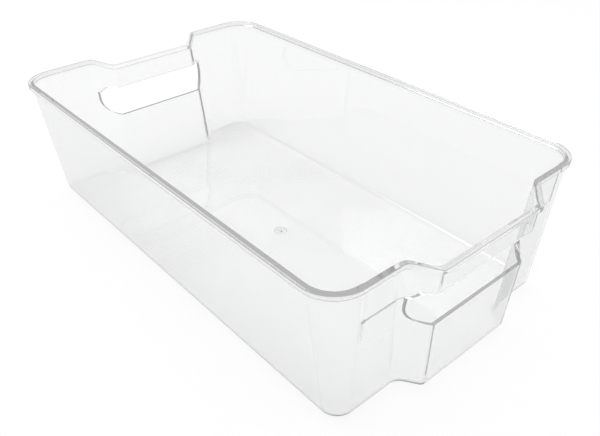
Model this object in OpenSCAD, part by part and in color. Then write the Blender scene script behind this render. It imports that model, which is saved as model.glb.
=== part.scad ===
// Clear storage bin for a fridge shelf, moulded in one piece.
// The floor is flat, the walls lean outwards and an outward lip runs round the rim.
// The middle of the front end bulges out and the middle of the back end steps in,
// and a hand hole under the rim of each end makes the handle.
// The bin stands on its floor: X runs across it, Y from the front end to the back, Z up.

/* [Overall size] */
// Width over the lip
rim_w = 219.6; // [190:0.2:250]
// Length over the lip, between the flat parts of the two ends
rim_l = 356.4; // [300:0.2:420]
// Height from the floor's underside to the top of the lip
height = 100.6; // [92:0.2:120]

/* [Walls] */
// Thickness of the walls
wall = 2.3; // [1.8:0.1:3]
// Thickness of the floor
floor_t = 2.3; // [1.8:0.1:3]
// Outward lean of the long side walls, in degrees
side_draft = 6.2; // [3:0.1:8]
// Outward lean of the end walls, in degrees
end_draft = 3.2; // [2:0.1:5]
// Radius of the upright corners at the rim
corner_r = 19; // [16:0.5:24]
// Radius of the upright corners at the floor
corner_r_base = 12.2; // [10:0.2:15]
// Radius of the outer edge between the walls and the floor
floor_edge_r = 5.4; // [4:0.2:7]

/* [Rim] */
// How far the lip stands out from the wall
lip_out = 2.2; // [1.6:0.1:3]
// Thickness of the lip
lip_t = 2.8; // [2:0.1:4]
// Rounding of the lip's upper edges
lip_round = 0.7; // [0.4:0.1:0.9]
// How far the rim is lowered over the two handles
rim_dip = 3.4; // [0:0.2:6]

/* [Front bulge] */
// How far the middle of the front end bulges out
bulge_out = 13.6; // [8:0.2:18]
// Width of the bulge where it leaves the end wall, at the rim
bulge_foot_w = 116; // [108:0.5:124]
// Width of the bulge's flat face, at the rim
bulge_face_w = 85.6; // [78:0.2:92]
// Width of the bulge where it leaves the end wall, at the floor
bulge_foot_base_w = 98; // [94:0.5:108]
// Width of the bulge's flat face, at the floor
bulge_face_base_w = 77; // [72:0.5:84]

/* [Back recess] */
// How far the middle of the back end steps in
recess_in = 14.3; // [8:0.1:18]
// Width of the recess at the end wall, at the rim
recess_foot_w = 105.4; // [98:0.2:112]
// Width of the recess's flat face, at the rim
recess_face_w = 75.8; // [68:0.2:82]
// Width of the recess at the end wall, at the floor
recess_foot_base_w = 113.6; // [106:0.2:120]
// Width of the recess's flat face, at the floor
recess_face_base_w = 84.8; // [78:0.2:92]

/* [Handles] */
// Radius of the upright folds beside the bulge and the recess
fold_r = 4; // [2.6:0.2:6]
// How far the handle panel of each end stands out from the wall
panel_out = 0.8; // [0.4:0.1:1.4]
// Height of the handle panel's lower edge
panel_z = 55.4; // [50:0.2:58]
// Radius of the handle panel's lower corners
panel_r = 5; // [3:0.5:8]
// Gap between the handle panel and the round of the corner
panel_gap = 1.5; // [1:0.1:4]
// Height of the ledge inside the ends, level with the hand hole's upper corners
ledge_z = 73.8; // [68:0.2:77]
// Height of the lower edge of the hand hole
hole_z = 54.4; // [48:0.2:57]
// Height of the upper edge of the hand hole, under the bar
hole_top_z = 78.4; // [77.6:0.2:82]
// Width of the front hand hole
front_hole_w = 106.6; // [98:0.2:110]
// Width of the back hand hole
back_hole_w = 99.4; // [90:0.2:104]
// Radius of the hand holes' lower corners
hole_r = 13.4; // [8:0.2:18]
// Width of the curve from each upper corner of a hand hole to its upper edge
hole_rise_w = 6.6; // [4:0.2:10]

/* [Gate mark] */
// Radius of the shallow round dish that the moulding gate leaves under the floor
gate_r = 5; // [3:0.5:8]
// Depth of that dish
gate_depth = 0.5; // [0.2:0.1:0.8]

/* [Hidden] */

// Run of the sloping steps round the handle panels and at the ledge
step_run = 0.6;
// Least radius that a fold keeps on the inside of its bend
fold_min_r = 0.6;
// Straight pieces in the arc of a corner, a fold, the floor's edge, the lip's edge,
// a panel's corner, a hand hole's corner and the rise beside its upper edge
corner_parts = 10;
fold_parts = 4;
edge_parts = 4;
lip_parts = 3;
panel_parts = 5;
hole_parts = 10;
rise_parts = 8;
gate_fn = 96;
// How far a cutter reaches past what it cuts
cut_over = 5;

// The walls' middle lies behind the origin, so that the length over the bulge is centred
overall_l = rim_l + bulge_out;
mid_y = bulge_out / 2;
inner_edge_r = floor_edge_r - wall;

function lerp(a, b, k) = a + (b - a) * k;
function smooth(k) = k * k * (3 - 2 * k);

// Half width and half length of the walls' outer faces at height z
function half_w(z) = rim_w / 2 - lip_out - (height - z) * tan(side_draft);
function half_l(z) = rim_l / 2 - lip_out - (height - z) * tan(end_draft);
function corner_at(z) = lerp(corner_r_base, corner_r, z / height);
function panel_half(z) = half_w(z) - corner_at(z) - panel_gap;

// Corners of the plan at height z, from the front face's left fold round the right side
// to the back face's left fold. The first and the last only give the next ones a direction.
function plan_corners(z) = let(
    k = z / height,
    face = lerp(bulge_face_base_w, bulge_face_w, k) / 2,
    foot = lerp(bulge_foot_base_w, bulge_foot_w, k) / 2,
    back_foot = lerp(recess_foot_base_w, recess_foot_w, k) / 2,
    back_face = lerp(recess_face_base_w, recess_face_w, k) / 2,
    w = half_w(z),
    l = half_l(z)
) [
    [-face, -l - bulge_out],
    [face, -l - bulge_out],
    [foot, -l],
    [w, -l],
    [w, l],
    [back_foot, l],
    [back_face, l - recess_in],
    [-back_face, l - recess_in]
];

function unit(v) = v / norm(v);
function outward(d) = [d[1], -d[0]];
function cross_z(a, b) = a[0] * b[1] - a[1] * b[0];

// Point number part of the arc that rounds plan corner i, on the wall face moved
// outwards by off. Arcs on the outside of a bend grow with off, the others shrink.
function round_point(i, part, parts, z, off) = let(
    c = plan_corners(z),
    d1 = unit(c[i] - c[i - 1]),
    d2 = unit(c[i + 1] - c[i]),
    side = sign(cross_z(d1, d2)),
    turn = acos(d1 * d2),
    tip = c[i] + (outward(d1) + outward(d2)) / (1 + outward(d1) * outward(d2)) * off,
    r0 = i == 3 || i == 4 ? corner_at(z) : fold_r,
    r = max(r0 + side * off, fold_min_r),
    centre = tip - d1 * r * tan(turn / 2) - outward(d1) * side * r,
    a = side * turn * part / parts,
    from = outward(d1) * side * r
) centre + [from[0] * cos(a) - from[1] * sin(a), from[0] * sin(a) + from[1] * cos(a)];

// Stations round the right half of the plan. Each is [plan corner, part of its arc, parts]
// or [0, end, distance inside the panel's edge], where end is -1 in front and 1 behind.
panel_steps = [for (i = [0:panel_parts]) panel_r * (1 - cos(90 * i / panel_parts))];
function corner_arc(i, parts) = [for (p = [0:parts]) [i, p, parts]];
stations = concat(
    corner_arc(1, fold_parts),
    corner_arc(2, fold_parts),
    [for (i = [panel_parts:-1:0]) [0, -1, panel_steps[i]]],
    [[0, -1, -step_run]],
    corner_arc(3, corner_parts),
    corner_arc(4, corner_parts),
    [[0, 1, -step_run]],
    [for (i = [0:panel_parts]) [0, 1, panel_steps[i]]],
    corner_arc(5, fold_parts),
    corner_arc(6, fold_parts)
);

// How deep a station lies inside the handle panel: none on the sides and corners
function depth(s) = s[0] == 0 ? s[2] : s[0] == 3 || s[0] == 4 ? -step_run : panel_r;
function panel_lift(d) = let(
    e = panel_r - min(max(d, 0), panel_r)
) panel_r - sqrt(panel_r * panel_r - e * e);
function dip_share(s) = s[0] == 1 || s[0] == 6 ? 1 : 0;

// Place of a station at plan height z, moved outwards by off
function station_xy(s, z, off) = s[0] > 0
    ? round_point(s[0], s[1], s[2], z, off)
    : [panel_half(z) - s[2], s[1] * (half_l(z) + off)];

// One ring of the surface. Its height is z, raised along the panel's lower corners where
// lift is 1 and lowered over the handles where dip is 1. It lies off outside the wall's
// outer face, and raise further out on the handle panels. A lip ring keeps the rim's plan.
function half_ring(z, off, raise, lift, dip, lip) = [
    for (s = stations)
        let(
            h = z + lift * panel_lift(depth(s)) - dip * rim_dip * dip_share(s),
            o = off + (depth(s) >= 0 ? raise : 0),
            p = station_xy(s, lip == 1 ? height : h, o)
        ) [p[0], p[1] + mid_y, h]
];
function ring(z, off, raise = 0, lift = 0, dip = 0, lip = 0) = let(
    right = half_ring(z, off, raise, lift, dip, lip),
    n = len(right)
) concat(right, [for (i = [n - 1:-1:0]) [-right[i][0], right[i][1], right[i][2]]]);

// The surface from the floor's underside up the outside, over the lip and down the inside
rings = concat(
    [for (i = [0:edge_parts]) let(a = 90 * i / edge_parts)
        ring(floor_edge_r * (1 - cos(a)), -floor_edge_r * (1 - sin(a)))],
    [
        ring(panel_z, 0, lift = 1),
        ring(panel_z + step_run, 0, raise = panel_out, lift = 1),
        ring(height - lip_t, 0, raise = panel_out, dip = 1),
        ring(height - lip_t, lip_out, dip = 1, lip = 1)
    ],
    [for (i = [0:lip_parts]) let(a = 90 * i / lip_parts)
        ring(height - lip_round * (1 - sin(a)), lip_out - lip_round * (1 - cos(a)),
            dip = 1, lip = 1)],
    [for (i = [0:lip_parts]) let(a = 90 * i / lip_parts)
        ring(height - lip_round * (1 - cos(a)), lip_round * (1 - sin(a)) - wall,
            raise = panel_out, dip = 1)],
    [
        ring(ledge_z + step_run, -wall, raise = panel_out),
        ring(ledge_z, -wall)
    ],
    [for (i = [edge_parts:-1:0]) let(a = 90 * i / edge_parts)
        ring(floor_t + inner_edge_r * (1 - cos(a)), -wall - inner_edge_r * (1 - sin(a)))]
);

module shell() {
    n = len(rings[0]);
    bands = len(rings) - 1;
    points = [for (r = rings) for (p = r) p];
    sides = [
        for (b = [0:bands - 1])
            for (i = [0:n - 1])
                let(j = (i + 1) % n, low = b * n, high = low + n)
                    each [[low + i, high + i, high + j], [low + i, high + j, low + j]]
    ];
    below = len(points);
    above = below + 1;
    underside = [for (i = [0:n - 1]) [below, i, (i + 1) % n]];
    floor_top = [for (i = [0:n - 1]) [above, bands * n + (i + 1) % n, bands * n + i]];
    middles = [[0, 0, 0], [0, 0, floor_t]];
    polyhedron(points = concat(points, middles), faces = concat(sides, underside, floor_top));
}

// Right half of a hand hole's outline, from its lower edge up and round to its upper edge
function hole_side(w) = concat(
    [for (i = [0:hole_parts]) let(a = 90 * i / hole_parts)
        [w / 2 - hole_r * (1 - sin(a)), hole_z + hole_r * (1 - cos(a))]],
    [for (i = [0:rise_parts]) let(k = i / rise_parts)
        [w / 2 - hole_rise_w * k, lerp(ledge_z, hole_top_z, smooth(k))]]
);

// Cutter for a hand hole of width w, along Y from front to back
module hand_hole(w, front, back) {
    right = hole_side(w);
    n = len(right);
    left = [for (i = [n - 1:-1:0]) [-right[i][0], right[i][1]]];
    translate([0, back, 0])
        rotate([90, 0, 0])
            linear_extrude(height = back - front)
                polygon(concat(right, left));
}

module front_hand_hole() {
    outside = -overall_l / 2 - cut_over;
    inside = mid_y - half_l(hole_z) + wall + cut_over;
    hand_hole(front_hole_w, outside, inside);
}

module back_hand_hole() {
    inside = mid_y + half_l(hole_z) - recess_in - wall - cut_over;
    outside = overall_l / 2 + cut_over;
    hand_hole(back_hole_w, inside, outside);
}

// Dish that keeps the stub of the moulding gate clear of the shelf
module gate_dish() {
    translate([0, 0, -gate_depth])
        cylinder(r = gate_r, h = 2 * gate_depth, $fn = gate_fn);
}

module bin() {
    color([0.93, 0.95, 0.96, 0.45])
        difference() {
            shell();
            front_hand_hole();
            back_hand_hole();
            gate_dish();
        }
}

bin();
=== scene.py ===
import bmesh
import bpy
import numpy as np
from mathutils import Matrix, Vector


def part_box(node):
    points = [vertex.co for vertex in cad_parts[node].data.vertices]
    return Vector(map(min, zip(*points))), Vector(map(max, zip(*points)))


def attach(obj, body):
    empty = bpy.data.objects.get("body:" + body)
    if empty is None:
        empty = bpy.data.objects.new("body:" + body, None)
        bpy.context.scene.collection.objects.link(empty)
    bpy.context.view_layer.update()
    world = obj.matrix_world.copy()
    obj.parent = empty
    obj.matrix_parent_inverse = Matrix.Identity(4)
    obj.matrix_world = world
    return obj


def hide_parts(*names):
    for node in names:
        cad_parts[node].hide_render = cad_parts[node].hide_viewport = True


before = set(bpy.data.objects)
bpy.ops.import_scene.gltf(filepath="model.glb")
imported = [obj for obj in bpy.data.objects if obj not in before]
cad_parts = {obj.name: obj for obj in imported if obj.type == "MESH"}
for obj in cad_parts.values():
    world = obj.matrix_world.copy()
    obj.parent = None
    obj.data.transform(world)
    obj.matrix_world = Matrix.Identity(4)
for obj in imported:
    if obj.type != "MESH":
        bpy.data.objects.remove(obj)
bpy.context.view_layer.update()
scene = bpy.context.scene

# The bin's form
# One injection moulding: a thin clear wall carried round the plan, from the floor's
# underside up the outside, over the lip and down the inside. Sizes are in millimetres.
mm = 0.001
low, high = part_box("bin")
rim_w = (high.x - low.x) / mm
overall_l = (high.y - low.y) / mm
height = high.z / mm
wall = 2.3
floor_t = 2.3
side_draft, end_draft = np.radians([6.6, 3.1])
corner_r, corner_r_base = 20.0, 12.1
floor_edge_r = 5.6
lip_out, lip_t, lip_round, rim_dip = 2.1, 3.5, 0.7, 3.9
foot_fold_r, face_fold_r, fold_min_r = 8.8, 3.9, 0.6
panel_out, panel_z, panel_r, panel_gap, step_run = 0.5, 55.4, 5.0, 1.5, 0.6
panel_side_run = 3.0
ledge_z, hole_z, hole_top_z, hole_r, hole_rise_w = 73.8, 54.4, 78.4, 13.4, 6.6
hole_edge_r = 0.35
lip_under_r = 0.5
mid_wall_z, under_rim_z = 46.0, 86.0
gate_r, gate_depth = 5.0, 0.5
bulge_out, recess_in = 13.6, 15.3
rim_l = overall_l - bulge_out
mid_y = bulge_out / 2

# Each end: how far its middle stands out, the half widths of the flat face and of the
# foot as (at the floor, at the rim), and the half width of its hand hole
front_end = dict(side=-1, step=bulge_out, face=(39.0, 43.3), foot=(47.8, 58.1), hole=53.3)
back_end = dict(side=1, step=-recess_in, face=(42.4, 35.6), foot=(56.8, 50.5), hole=49.7)


def half_w(z):
    """Half width over the walls at height z: the side walls lean out by their draft."""
    return rim_w / 2 - lip_out - (height - z) * np.tan(side_draft)


def half_l(z):
    """Half length over the end walls at height z: they lean out by their draft."""
    return rim_l / 2 - lip_out - (height - z) * np.tan(end_draft)


def corner_radius(z):
    """Radius of the upright corners, which grows evenly from the floor to the rim."""
    return corner_r_base + (corner_r - corner_r_base) * z / height


def smooth(k):
    """Smooth step, 3k^2 - 2k^3 with k held between 0 and 1."""
    k = np.clip(k, 0, 1)
    return k * k * (3 - 2 * k)


def end_wall(end, x, z, off):
    """Distance of an end wall from the plan's middle at x and z, off outside its outer face.

    The plan is a flat face, a slope and the flat wall. Each line moves out by off along its
    own normal, and an arc joins them, whose radius changes by off with its centre kept.
    """
    k = z / height
    face = end["face"][0] + (end["face"][1] - end["face"][0]) * k
    foot = end["foot"][0] + (end["foot"][1] - end["foot"][0]) * k
    bend = np.sign(end["step"])
    run = foot - face
    slope = np.hypot(run, end["step"])
    normal_x, normal_q = end["step"] / slope, run / slope
    mitre = off / (1 + normal_q)
    face_x, face_q = face + normal_x * mitre, half_l(z) + end["step"] + off
    foot_x, foot_q = foot + normal_x * mitre, half_l(z) + off
    r_face = np.maximum(face_fold_r + bend * off, fold_min_r)
    r_foot = np.maximum(foot_fold_r - bend * off, fold_min_r)
    tangent = np.tan(np.arccos(normal_q) / 2)
    centre_1, end_1 = face_x - r_face * tangent, face_x + r_face * tangent * normal_q
    start_2, centre_2 = foot_x - r_foot * tangent * normal_q, foot_x + r_foot * tangent
    arc_1 = np.sqrt(np.maximum(r_face**2 - (x - centre_1) ** 2, 0)) - r_face
    arc_2 = np.sqrt(np.maximum(r_foot**2 - (x - centre_2) ** 2, 0)) - r_foot
    on_slope = face_q - (x - face_x) * end["step"] / run
    return np.select(
        [x <= centre_1, x <= end_1, x <= start_2, x <= centre_2],
        [face_q, face_q + bend * arc_1, on_slope, foot_q - bend * arc_2],
        foot_q,
    )


def hole_edge(end):
    """Edge of a hand hole's mouth at half width x: its lower and upper z for x from 0 out.

    The true outline is a flat bottom, a quarter circle, a straight side and a smooth step
    up to the bar. The mouth lies hole_edge_r outside it, where the rounded edge begins.
    """
    half = end["hole"]
    turn = np.linspace(0, np.pi / 2, 17)
    r = hole_r + hole_edge_r
    arc_x = half - hole_r + r * np.sin(turn)
    arc_z = hole_z + hole_r - r * np.cos(turn)
    k = np.linspace(0, 1, 65)
    rise_x = half - hole_rise_w * k
    rise_z = ledge_z + (hole_top_z - ledge_z) * smooth(k)
    tilt = np.arctan2((hole_top_z - ledge_z) * 6 * k * (1 - k), hole_rise_w)
    rise_x = rise_x + hole_edge_r * np.sin(tilt)
    rise_z = rise_z + hole_edge_r * np.cos(tilt)
    rise_x = np.append(half + hole_edge_r, rise_x)
    rise_z = np.append(ledge_z + hole_edge_r, rise_z)
    return arc_x, arc_z, rise_x[::-1], rise_z[::-1]


def spaced(start, stop, step):
    """Even values from start to stop, no more than step apart."""
    return np.linspace(start, stop, int(np.ceil((stop - start) / step)) + 1)


# Columns of the grid, from the front's middle round the right side to the back's middle.
# Near the folds and the hand hole they keep their x, and beyond that they follow the walls.
panel_steps = panel_r * (1 - np.cos(np.linspace(np.pi / 2, 0, 7)))
fold_zone = 66.0


def end_columns(end):
    """Fixed x of an end's columns: coarse on the face, on the arc's points, fine at the folds."""
    arc_x = hole_edge(end)[0]
    fine = spaced(arc_x[-1], fold_zone, 0.6)[1:]
    face_from = min(end["face"]) - 5
    inner = np.unique(np.r_[spaced(0, face_from, 5), spaced(face_from, arc_x[0], 0.6)])
    between = [spaced(a, b, 0.6)[1:] for a, b in zip(arc_x[:-1], arc_x[1:])]
    return np.r_[inner[:-1], arc_x[0], np.concatenate(between), fine]


def end_block(end, z, off):
    """An end's columns at rows of height z: x is fixed and y follows the end wall."""
    x = end_columns(end)[:, None] + 0 * z
    return x, end["side"] * end_wall(end, x, z, off)


def panel_block(end, z, off):
    """Columns between the fold zone and the corner, at fixed distances inside the panel's edge."""
    edge = half_w(z) - corner_radius(z) - panel_gap
    d = np.r_[panel_steps, -step_run][:, None]
    return edge - d, end["side"] * (half_l(z) + off + 0 * d)


def corner_block(side, z, off):
    """Columns round an upright corner: an arc about a centre that leans with the walls."""
    turn = np.linspace(0, np.pi / 2, 15)[:, None]
    r = corner_radius(z)
    x = half_w(z) - r + (r + off) * np.sin(turn)
    y = side * (half_l(z) - r + (r + off) * np.cos(turn))
    return x, y


def side_block(z, off):
    """Columns along a long side between its corners: straight lines that lean out."""
    t = np.linspace(-1, 1, 9)[1:-1, None]
    return half_w(z) + off + 0 * t, t * (half_l(z) - corner_radius(z))


# What each column of the right half knows: the hand hole's lower and upper edge there,
# how far the panel's edge is lifted by its round corner, whether it lies inside the
# panel, and its share of the dip in the rim
front_x, back_x = end_columns(front_end), end_columns(back_end)
n_front, n_panel, n_corner, n_side, n_back = len(front_x), 8, 15, 7, len(back_x)


def end_facts(end, x):
    """Lower and upper edge of the hand hole at x, level beyond it, and the dip's share."""
    arc_x, arc_z, rise_x, rise_z = hole_edge(end)
    lower = np.where(x > arc_x[-1], arc_z[-1], np.interp(x, arc_x, arc_z))
    upper = np.where(x > rise_x[-1], ledge_z + hole_edge_r, np.interp(x, rise_x, rise_z))
    share = 1 - smooth((x - end["face"][1]) / (end["foot"][1] - end["face"][1]))
    return lower, upper, share


flat = np.ones(n_panel + n_corner)
front_facts, back_facts = end_facts(front_end, front_x), end_facts(back_end, back_x)
rest = (hole_z + hole_r, ledge_z + hole_edge_r, 0.0)
hole_low, hole_up, dip_share = (
    np.r_[f, r * flat, r * np.ones(n_side), r * flat, b[::-1]]
    for f, b, r in zip(front_facts, back_facts, rest)
)
into = panel_r - np.clip(np.r_[panel_steps, 0], 0, panel_r)
panel_lift = panel_r - np.sqrt(panel_r**2 - into**2)
corner_lift = panel_r * np.ones(n_corner)
lift = np.r_[np.zeros(n_front), panel_lift, corner_lift, panel_r * np.ones(n_side),
             corner_lift, panel_lift[::-1], np.zeros(n_back)]
in_panel_steps = smooth((np.r_[panel_steps, -step_run] + step_run) / panel_side_run)
in_panel = np.r_[np.ones(n_front), in_panel_steps, np.zeros(n_corner + n_side + n_corner),
                 in_panel_steps[::-1], np.ones(n_back)]


def between(a, b, rows):
    """Rows that share the space from level a, left out, to level b of every column evenly."""
    k = np.arange(1, rows + 1) / rows
    return a[:, None] + (b - a)[:, None] * k


# Levels of the wall, each a height per column. Where the hand hole cuts a level off,
# the level lies on the hole's edge, and its points merge there.
one = np.ones(len(lift))
edge_level = floor_edge_r * one
panel_level = np.minimum(panel_z + lift, hole_low)
raised_level = np.minimum(panel_z + step_run + lift, hole_low)
ledge_level = np.where(hole_up > ledge_z + hole_edge_r, hole_low, ledge_z)
ledge_level = np.maximum(ledge_level, hole_low)
above_level = np.maximum(ledge_z + step_run, hole_up)
lip_level = height - lip_t - rim_dip * dip_share
wall_z = np.concatenate([
    edge_level[:, None],
    between(edge_level, mid_wall_z * one, 12),
    between(mid_wall_z * one, panel_level, 3),
    between(panel_level, raised_level, 1),
    between(raised_level, hole_low, 9),
    between(hole_low, ledge_level, 3),
    between(ledge_level, hole_up, 1),
    between(hole_up, above_level, 1),
    between(above_level, under_rim_z * one, 6),
    between(under_rim_z * one, lip_level, 3),
], axis=1)
low_row, up_row = 1 + 12 + 3 + 1 + 9 - 1, 1 + 12 + 3 + 1 + 9 + 3 + 1 - 1
outer_off = panel_out * np.clip((wall_z - panel_z - lift[:, None]) / step_run, 0, 1)
inner_off = panel_out * np.clip((wall_z - ledge_z) / step_run, 0, 1)
outer_off, inner_off = outer_off * in_panel[:, None], inner_off * in_panel[:, None] - wall


def grid_place(z, off):
    """X and Y of the right half's grid, for every column and row, at plan height z."""
    ends = np.cumsum([n_front, n_panel, n_corner, n_side, n_corner, n_panel, n_back])
    cut = [slice(a, b) for a, b in zip(np.r_[0, ends[:-1]], ends)]
    flip = [z[c][::-1] for c in cut], [off[c][::-1] for c in cut]
    parts = [
        end_block(front_end, z[cut[0]], off[cut[0]]),
        panel_block(front_end, z[cut[1]], off[cut[1]]),
        corner_block(-1, z[cut[2]], off[cut[2]]),
        side_block(z[cut[3]], off[cut[3]]),
        [p[::-1] for p in corner_block(1, flip[0][4], flip[1][4])],
        [p[::-1] for p in panel_block(back_end, flip[0][5], flip[1][5])],
        [p[::-1] for p in end_block(back_end, flip[0][6], flip[1][6])],
    ]
    return np.concatenate([p[0] for p in parts]), np.concatenate([p[1] for p in parts])


# The section's rows in order: z of the plan, height and offset of each column
quarter = np.linspace(0, np.pi / 2, 7)
small_quarter = np.linspace(0, np.pi / 2, 5)
dip = rim_dip * dip_share[:, None]
bottom_z = floor_edge_r * (1 - np.cos(quarter[:-1])) * one[:, None]
bottom_off = -floor_edge_r * (1 - np.sin(quarter[:-1])) * one[:, None]
lip_drop = np.r_[lip_t + 0 * small_quarter[:1], lip_t - lip_under_r * (1 - np.cos(small_quarter)),
                 lip_round * (1 - np.sin(small_quarter))]
lip_off = np.r_[lip_out / 2, lip_out - lip_under_r * (1 - np.sin(small_quarter)),
                lip_out - lip_round * (1 - np.cos(small_quarter))]
lip_height = height - lip_drop * one[:, None] - dip
inside_drop = lip_round * (1 - np.cos(small_quarter))
inside_height = height - inside_drop * one[:, None] - dip
inside_off = lip_round * (1 - np.sin(small_quarter)) - wall + panel_out * in_panel[:, None]
floor_r = floor_edge_r - wall
floor_z = floor_t + floor_r * (1 - np.cos(quarter[-2::-1])) * one[:, None]
floor_off = (-wall - floor_r * (1 - np.sin(quarter[-2::-1]))) * one[:, None]

heights = np.concatenate([bottom_z, wall_z, lip_height, inside_height,
                          wall_z[:, -2::-1], floor_z], axis=1)
plan_z = np.concatenate([bottom_z, wall_z, height + 0 * lip_height, inside_height,
                         wall_z[:, -2::-1], floor_z], axis=1)
offsets = np.concatenate([bottom_off, outer_off, lip_off * one[:, None], inside_off,
                          inner_off[:, -2::-1], floor_off], axis=1)
grid_x, grid_y = grid_place(plan_z, offsets)
right_half = np.stack([grid_x, grid_y + mid_y, heights], axis=2)
right_half[[0, -1], :, 0] = 0
left_half = right_half[-2:0:-1] * [-1, 1, 1]
ring = np.concatenate([right_half, left_half])

# The underside's middle is a shallow round dish where the gate was, with its stub in it
way = ring[:, :1, :2] / np.linalg.norm(ring[:, :1, :2], axis=2, keepdims=True)
dish = [(0, 0.2), (0.9, 0.2), (1.0, 0.3), (1.1, gate_depth), (gate_r - 0.5, gate_depth),
        (gate_r - 0.2, gate_depth - 0.1), (gate_r, 0.1), (gate_r + 0.2, 0)]
dish = np.array(dish)
dish_rows = np.concatenate([way * dish[:, :1], 0 * way[:, :, :1] + dish[:, 1:]], axis=2)
floor_middle = np.zeros((len(ring), 1, 3)) + [0, 0, floor_t]
grid = np.concatenate([dish_rows, ring, floor_middle], axis=1)
n_cols, n_rows = grid.shape[:2]
index = np.arange(n_cols * n_rows).reshape(n_cols, n_rows)

# Cells of the grid, without those in the mouths of the hand holes
first_outer = len(dish) + bottom_z.shape[1]
outer_low, outer_up = first_outer + low_row, first_outer + up_row
first_inner = first_outer + wall_z.shape[1] + lip_height.shape[1] + inside_height.shape[1]
last = wall_z.shape[1] - 2
inner_low, inner_up = first_inner + last - low_row, first_inner + last - up_row
keep = np.ones((n_cols, n_rows - 1), bool)
front_edge = int(np.searchsorted(front_x, hole_edge(front_end)[0][-1] - 1e-6))
back_edge = int(np.searchsorted(back_x, hole_edge(back_end)[0][-1] - 1e-6))
last_right = len(right_half) - 1
front_span = np.arange(-front_edge, front_edge + 1) % n_cols
back_span = np.arange(last_right - back_edge, last_right + back_edge + 1)
for span in (front_span, back_span):
    keep[span[:-1], outer_low:outer_up] = False
    keep[span[:-1], inner_up:inner_low] = False
c, r = np.nonzero(keep)
d = (c + 1) % n_cols
quads = [np.stack([index[c, r], index[d, r], index[d, r + 1], index[c, r + 1]], axis=1)]
points = [grid.reshape(-1, 3)]


def hole_band(end, span):
    """The wall of a hand hole: rings from its outer mouth through the wall to its inner one.

    A ring lies inside the mouth by r sin a and below the surface by r (1 - cos a), with a
    from 0 to 90 degrees at the outer face and back again at the inner face.
    """
    def loop(low_end, up_end, step):
        side = np.arange(low_end + step, up_end, step)
        return np.concatenate([index[span, low_end], index[span[-1], side],
                               index[span[::-1], up_end], index[span[0], side[::-1]]])
    outer, inner = loop(outer_low, outer_up, 1), loop(inner_low, inner_up, -1)
    mouth = points[0][outer][:, [0, 2]]
    along = np.roll(mouth, -1, axis=0) - mouth
    length = np.linalg.norm(along, axis=1, keepdims=True)
    along = along / np.maximum(length, 1e-9) * end["side"] * -1
    before = np.roll(along, 1, axis=0)
    inwards = np.stack([-along[:, 1] - before[:, 1], along[:, 0] + before[:, 0]], axis=1)
    inwards = inwards / (1 + np.sum(along * before, axis=1, keepdims=True))
    a = np.array([0.25, 0.5, 0.75, 1.0]) * np.pi / 2
    rings = []
    for turn, surface in [(t, 1) for t in a] + [(t, 0) for t in a[::-1]]:
        x, z = (mouth + inwards * hole_edge_r * np.sin(turn)).T
        raised = np.clip((z - (panel_z if surface else ledge_z)) / step_run, 0, 1) * panel_out
        depth = hole_edge_r * (1 - np.cos(turn))
        q = end_wall(end, np.abs(x), z, raised - (0 if surface else wall))
        q = q - depth if surface else q + depth
        rings.append(np.stack([x, end["side"] * q + mid_y, z], axis=1))
    start = sum(len(p) for p in points)
    n = len(outer)
    loops = [outer] + [start + i * n + np.arange(n) for i in range(len(rings))] + [inner]
    points.append(np.concatenate(rings))
    for p, q in zip(loops[:-1], loops[1:]):
        quads.append(np.stack([p, np.roll(p, -1), np.roll(q, -1), q], axis=1))


hole_band(front_end, front_span)
hole_band(back_end, back_span)

shell = bpy.data.meshes.new("clear_bin")
shell.from_pydata((np.concatenate(points) * mm).tolist(), [], np.concatenate(quads).tolist())
work = bmesh.new()
work.from_mesh(shell)
bmesh.ops.remove_doubles(work, verts=work.verts, dist=1e-6)
bmesh.ops.dissolve_degenerate(work, edges=work.edges, dist=1e-7)
work.to_mesh(shell)
work.free()
shell.shade_smooth()
bin_obj = bpy.data.objects.new("clear_bin", shell)
scene.collection.objects.link(bin_obj)
normals = bin_obj.modifiers.new("even_faces", "WEIGHTED_NORMAL")
normals.mode = "FACE_AREA"
normals.weight = 50
normals.keep_sharp = True

# The bin's plastic
# Clear styrene: faintly grey, polished on the walls. The floor's underside has a fine
# moulded grain in rows, which fades towards the front, and the gate's dish is frosted.
plastic = bpy.data.materials.new("clear_plastic")
plastic.use_nodes = True
tree = plastic.node_tree
nodes, join = tree.nodes, tree.links.new
surface = nodes["Principled BSDF"]
surface.inputs["Transmission Weight"].default_value = 1.0
surface.inputs["IOR"].default_value = 1.5


def math_node(kind, first, second):
    """A maths node of the current tree on two inputs, each a socket or a plain number."""
    step = nodes.new("ShaderNodeMath")
    step.operation = kind
    for socket, value in zip(step.inputs, (first, second)):
        if isinstance(value, (int, float)):
            socket.default_value = value
        else:
            join(value, socket)
    return step.outputs[0]


def ramp(value, start, stop, reach=1.0):
    """A smooth ramp in the current tree: 0 where value is start, reach where it is stop."""
    step = nodes.new("ShaderNodeMapRange")
    step.interpolation_type = "SMOOTHSTEP"
    step.inputs["From Min"].default_value = start
    step.inputs["From Max"].default_value = stop
    step.inputs["To Max"].default_value = reach
    join(value, step.inputs["Value"])
    return step.outputs["Result"]


place = nodes.new("ShaderNodeTexCoord")
axes = nodes.new("ShaderNodeSeparateXYZ")
join(place.outputs["Object"], axes.inputs[0])
from_gate = nodes.new("ShaderNodeVectorMath")
from_gate.operation = "LENGTH"
join(place.outputs["Object"], from_gate.inputs[0])
underside = ramp(axes.outputs["Z"], 2.0 * mm, 1.0 * mm)
frosted = math_node("MULTIPLY", ramp(from_gate.outputs["Value"], 5.6 * mm, 4.2 * mm), underside)

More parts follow.
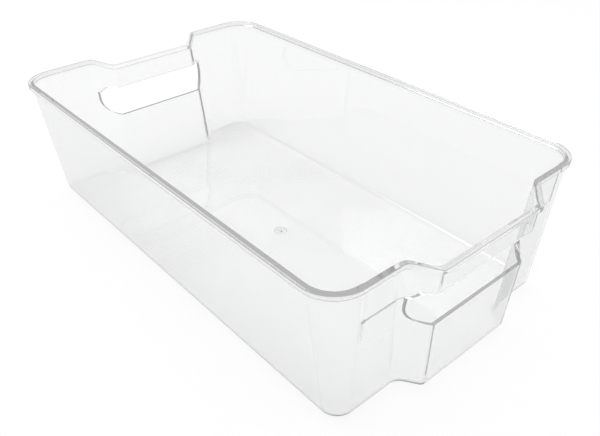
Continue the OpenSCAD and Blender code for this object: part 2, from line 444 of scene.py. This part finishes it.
# Rows of grain 3 mm apart across the floor, broken up by two noises
rows = nodes.new("ShaderNodeTexWave")
rows.bands_direction = "Y"
rows.inputs["Scale"].default_value = np.pi / (10 * 3.0 * mm)
rows.inputs["Distortion"].default_value = 2.4
rows.inputs["Detail"].default_value = 1.0
rows.inputs["Detail Scale"].default_value = 0.4
specks = nodes.new("ShaderNodeTexNoise")
specks.inputs["Scale"].default_value = 420.0
specks.inputs["Detail"].default_value = 2.0
patches = nodes.new("ShaderNodeTexNoise")
patches.inputs["Scale"].default_value = 14.0
patches.inputs["Detail"].default_value = 2.0
for texture in (rows, specks, patches):
    join(place.outputs["Object"], texture.inputs["Vector"])
grain = math_node("MULTIPLY", rows.outputs["Fac"], specks.outputs["Fac"])
patchy = ramp(patches.outputs["Fac"], 0.35, 0.62)
behind = ramp(axes.outputs["Y"], -90.0 * mm, 30.0 * mm)
grain = math_node("MULTIPLY", grain, math_node("MULTIPLY", patchy, behind))
grain = math_node("ADD", grain, math_node("MULTIPLY", specks.outputs["Fac"], frosted))
grain = math_node("MULTIPLY", grain, underside)

# Painted shade: the round under the walls and the lip, where light runs off in the real plastic, get a
# grey mixed into the base colour so that they look greyer
facing = nodes.new("ShaderNodeNewGeometry")
leans = nodes.new("ShaderNodeSeparateXYZ")
join(facing.outputs["Normal"], leans.inputs[0])
outside = math_node("SUBTRACT", 1.0, facing.outputs["Backfacing"])
# Painted shade on the outer round under the walls: outside faces whose normals point down
painted_round_shade = math_node("MULTIPLY", ramp(leans.outputs["Z"], -0.13, -0.32), outside)
above_floor = ramp(axes.outputs["Z"], 0.3 * mm, 0.8 * mm)
below_wall = ramp(axes.outputs["Z"], floor_edge_r * mm, 0.85 * floor_edge_r * mm)
painted_round_shade = math_node("MULTIPLY", painted_round_shade, math_node("MULTIPLY", above_floor, below_wall))
# Painted shade on the rim: a light grey from just under the lip's underside up to the top
painted_lip_shade = ramp(axes.outputs["Z"], (height - lip_t - 0.6) * mm, (height - lip_t) * mm, 0.12)
clear = (0.93, 0.934, 0.933, 1)
# The grey used for the painted shade and, weaker, for the floor's moulded grain
shade_and_grain_grey = (0.2, 0.2, 0.2, 1)
shade_and_grain_tint = nodes.new("ShaderNodeMix")
shade_and_grain_tint.data_type = "RGBA"
shade_and_grain_tint.inputs[6].default_value = clear
shade_and_grain_tint.inputs[7].default_value = shade_and_grain_grey
# Share of grey: painted shade on the lower round and the rim, plus the floor's real grain
shade_and_grain_share = math_node("MAXIMUM", painted_round_shade, math_node("ADD", painted_lip_shade, math_node("MULTIPLY", grain, 0.2)))
join(shade_and_grain_share, shade_and_grain_tint.inputs[0])
join(shade_and_grain_tint.outputs[2], surface.inputs["Base Color"])
bump = nodes.new("ShaderNodeBump")
bump.inputs["Strength"].default_value = 0.5
bump.inputs["Distance"].default_value = 0.25 * mm
join(grain, bump.inputs["Height"])
join(bump.outputs["Normal"], surface.inputs["Normal"])
rough = math_node("ADD", math_node("MULTIPLY", frosted, 0.25), 0.015)
join(math_node("ADD", rough, math_node("MULTIPLY", patchy, 0.02)), surface.inputs["Roughness"])

# Light that has been turned back and forth in an edge leaves it grey and not black. The
# plastic's shadow is faint, and darker where light meets a wall at a grazing angle
path = nodes.new("ShaderNodeLightPath")
trapped = nodes.new("ShaderNodeBsdfTransparent")
trapped.inputs["Color"].default_value = (0.86, 0.86, 0.86, 1)
in_edges = nodes.new("ShaderNodeMixShader")
join(math_node("GREATER_THAN", path.outputs["Ray Depth"], 5.5), in_edges.inputs["Fac"])
join(surface.outputs["BSDF"], in_edges.inputs[1])
join(trapped.outputs["BSDF"], in_edges.inputs[2])
grazing = nodes.new("ShaderNodeLayerWeight")
held_back = math_node("MULTIPLY", math_node("POWER", grazing.outputs["Facing"], 3.0), 0.7)
shade = nodes.new("ShaderNodeBsdfTransparent")
join(math_node("SUBTRACT", 0.95, held_back), shade.inputs["Color"])
with_shadow = nodes.new("ShaderNodeMixShader")
join(path.outputs["Is Shadow Ray"], with_shadow.inputs["Fac"])
join(in_edges.outputs["Shader"], with_shadow.inputs[1])
join(shade.outputs["BSDF"], with_shadow.inputs[2])
join(with_shadow.outputs["Shader"], nodes["Material Output"].inputs["Surface"])
shell.materials.append(plastic)
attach(bin_obj, "root")
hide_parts("bin")

# The studio floor
# A pale matt sheet a little below the bin. What the camera sees of it, straight or
# through the plastic, is mostly white, and the rest carries the bin's soft shadow.
floor_size = 8.0
floor_drop = 0.4 * mm
corners = [(-1, -1), (1, -1), (1, 1), (-1, 1)]
sheet = bpy.data.meshes.new("studio_floor")
sheet.from_pydata([(x * floor_size / 2, y * floor_size / 2, -floor_drop) for x, y in corners],
                  [], [(0, 1, 2, 3)])
floor_obj = bpy.data.objects.new("studio_floor", sheet)
scene.collection.objects.link(floor_obj)
paper = bpy.data.materials.new("white_paper")
paper.use_nodes = True
tree = paper.node_tree
nodes, join = tree.nodes, tree.links.new
matt = nodes["Principled BSDF"]
matt.inputs["Base Color"].default_value = (0.9, 0.9, 0.9, 1)
matt.inputs["Roughness"].default_value = 1.0
matt.inputs["Specular IOR Level"].default_value = 0.0
glow = nodes.new("ShaderNodeEmission")
path = nodes.new("ShaderNodeLightPath")
through = math_node("MULTIPLY", path.outputs["Is Transmission Ray"], 0.5)
mirrored = math_node("SUBTRACT", path.outputs["Is Glossy Ray"], path.outputs["Is Transmission Ray"])
join(math_node("SUBTRACT", 1.0, math_node("MULTIPLY", mirrored, 0.2)), glow.inputs["Strength"])
seen = math_node("MAXIMUM", math_node("MULTIPLY", path.outputs["Is Camera Ray"], 0.85),
                 math_node("MAXIMUM", through, math_node("MULTIPLY", mirrored, 0.7)))
white = nodes.new("ShaderNodeMixShader")
join(seen, white.inputs["Fac"])
join(matt.outputs["BSDF"], white.inputs[1])
join(glow.outputs["Emission"], white.inputs[2])
join(white.outputs["Shader"], nodes["Material Output"].inputs["Surface"])
sheet.materials.append(paper)

# The studio's light
# White light from above that dims towards the horizon, so that edges and grazing
# reflections turn grey while the backdrop stays white, and one soft lamp over the
# bin's back left corner.
world = bpy.data.worlds.new("studio")
scene.world = world
world.use_nodes = True
tree = world.node_tree
nodes, join = tree.nodes, tree.links.new
sky = nodes["Background"]
direction = nodes.new("ShaderNodeTexCoord")
split = nodes.new("ShaderNodeSeparateXYZ")
join(direction.outputs["Generated"], split.inputs[0])
level = nodes.new("ShaderNodeMapRange")
level.interpolation_type = "SMOOTHSTEP"
level.inputs["From Min"].default_value = 0.0
level.inputs["From Max"].default_value = 0.55
level.inputs["To Min"].default_value = 0.5
level.inputs["To Max"].default_value = 1.0
join(split.outputs["Z"], level.inputs["Value"])
path = nodes.new("ShaderNodeLightPath")
join(math_node("MAXIMUM", level.outputs["Result"], path.outputs["Is Camera Ray"]), sky.inputs["Strength"])
sky.inputs["Color"].default_value = (1, 1, 1, 1)
lamp = bpy.data.lights.new("soft_lamp", "AREA")
lamp.energy = 6.0
lamp.size = 0.7
lamp_obj = bpy.data.objects.new("soft_lamp", lamp)
lamp_obj.location = (-0.6, 0.5, 1.3)
lamp_obj.rotation_euler = (-lamp_obj.location).to_track_quat("-Z", "Y").to_euler()
scene.collection.objects.link(lamp_obj)

# The camera
# The photo's viewpoint, from the silhouette: the turn about the vertical, the height
# above the horizon and the roll in degrees, and the focal length in picture widths.
picture_w, focal_px = 600, 675.02
turn, rise, roll = np.radians([-40.858, 34.466, -0.374])
back = Vector((np.sin(turn) * np.cos(rise), -np.cos(turn) * np.cos(rise), np.sin(rise)))
right = Vector((np.cos(turn), np.sin(turn), 0))
up = back.cross(right)
camera = bpy.data.cameras.new("photo_camera")
camera.sensor_width = 36
camera.lens = focal_px * camera.sensor_width / picture_w
camera_obj = bpy.data.objects.new("photo_camera", camera)
view = Matrix([np.cos(roll) * right + np.sin(roll) * up,
               np.cos(roll) * up - np.sin(roll) * right, back]).transposed().to_4x4()
view.translation = (-0.26959, -0.33510, 0.30809)
camera_obj.matrix_world = view
scene.collection.objects.link(camera_obj)
scene.camera = camera_obj
scene.view_settings.view_transform = "Standard"
